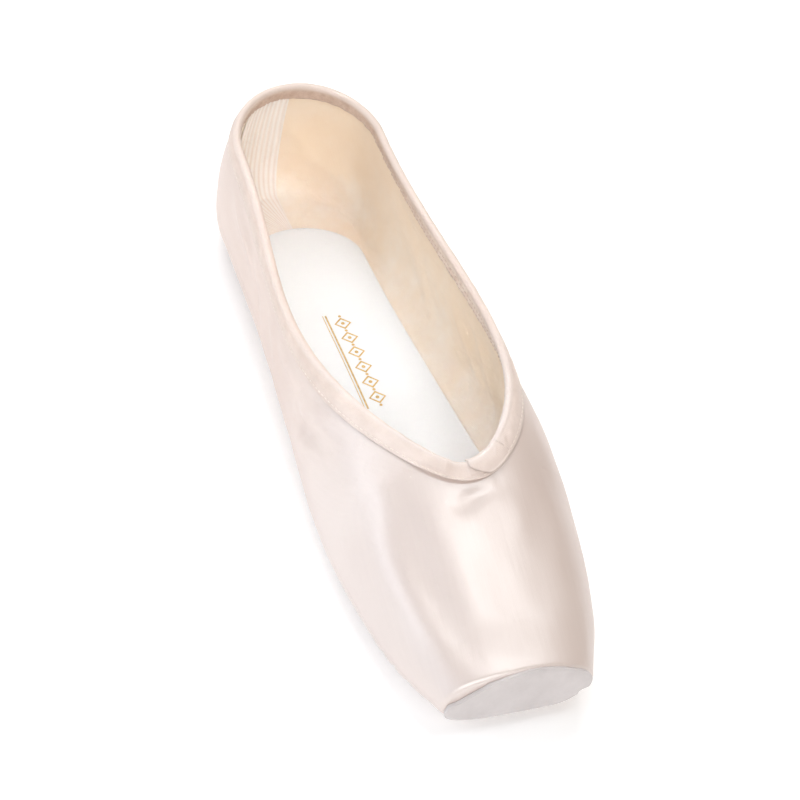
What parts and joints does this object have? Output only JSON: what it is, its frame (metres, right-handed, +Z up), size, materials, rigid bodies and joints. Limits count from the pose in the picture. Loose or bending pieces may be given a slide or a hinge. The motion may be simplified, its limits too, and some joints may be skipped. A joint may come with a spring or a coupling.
{
  "type": "pre-pointe ballet shoe",
  "caption": "Soft satin demi-pointe ballet shoe with a flat platform toe, drawstring casing, full leather outsole, white insole and suede tip patch.",
  "frame": {"origin": "on the floor under the middle of the shoe's bounding box, standing on its sole", "axes": "+X across the shoe, +Y from the toe to the heel, +Z up"},
  "size_m": [0.074, 0.235, 0.0517],
  "materials": {
    "satin": "pale pink satin with a soft lengthwise sheen, beige cotton lining inside",
    "casing_tape": "matte pink cotton tape with a stitch line",
    "sole_leather": "matte brown split leather",
    "sock": "smooth matte white",
    "suede": "matte off-white suede"
  },
  "bodies": {
    "root": {"upper": "satin", "binding": "casing_tape", "outsole": "sole_leather", "insole": "sock", "tip_patch": "suede"}
  },
  "joints": []
}
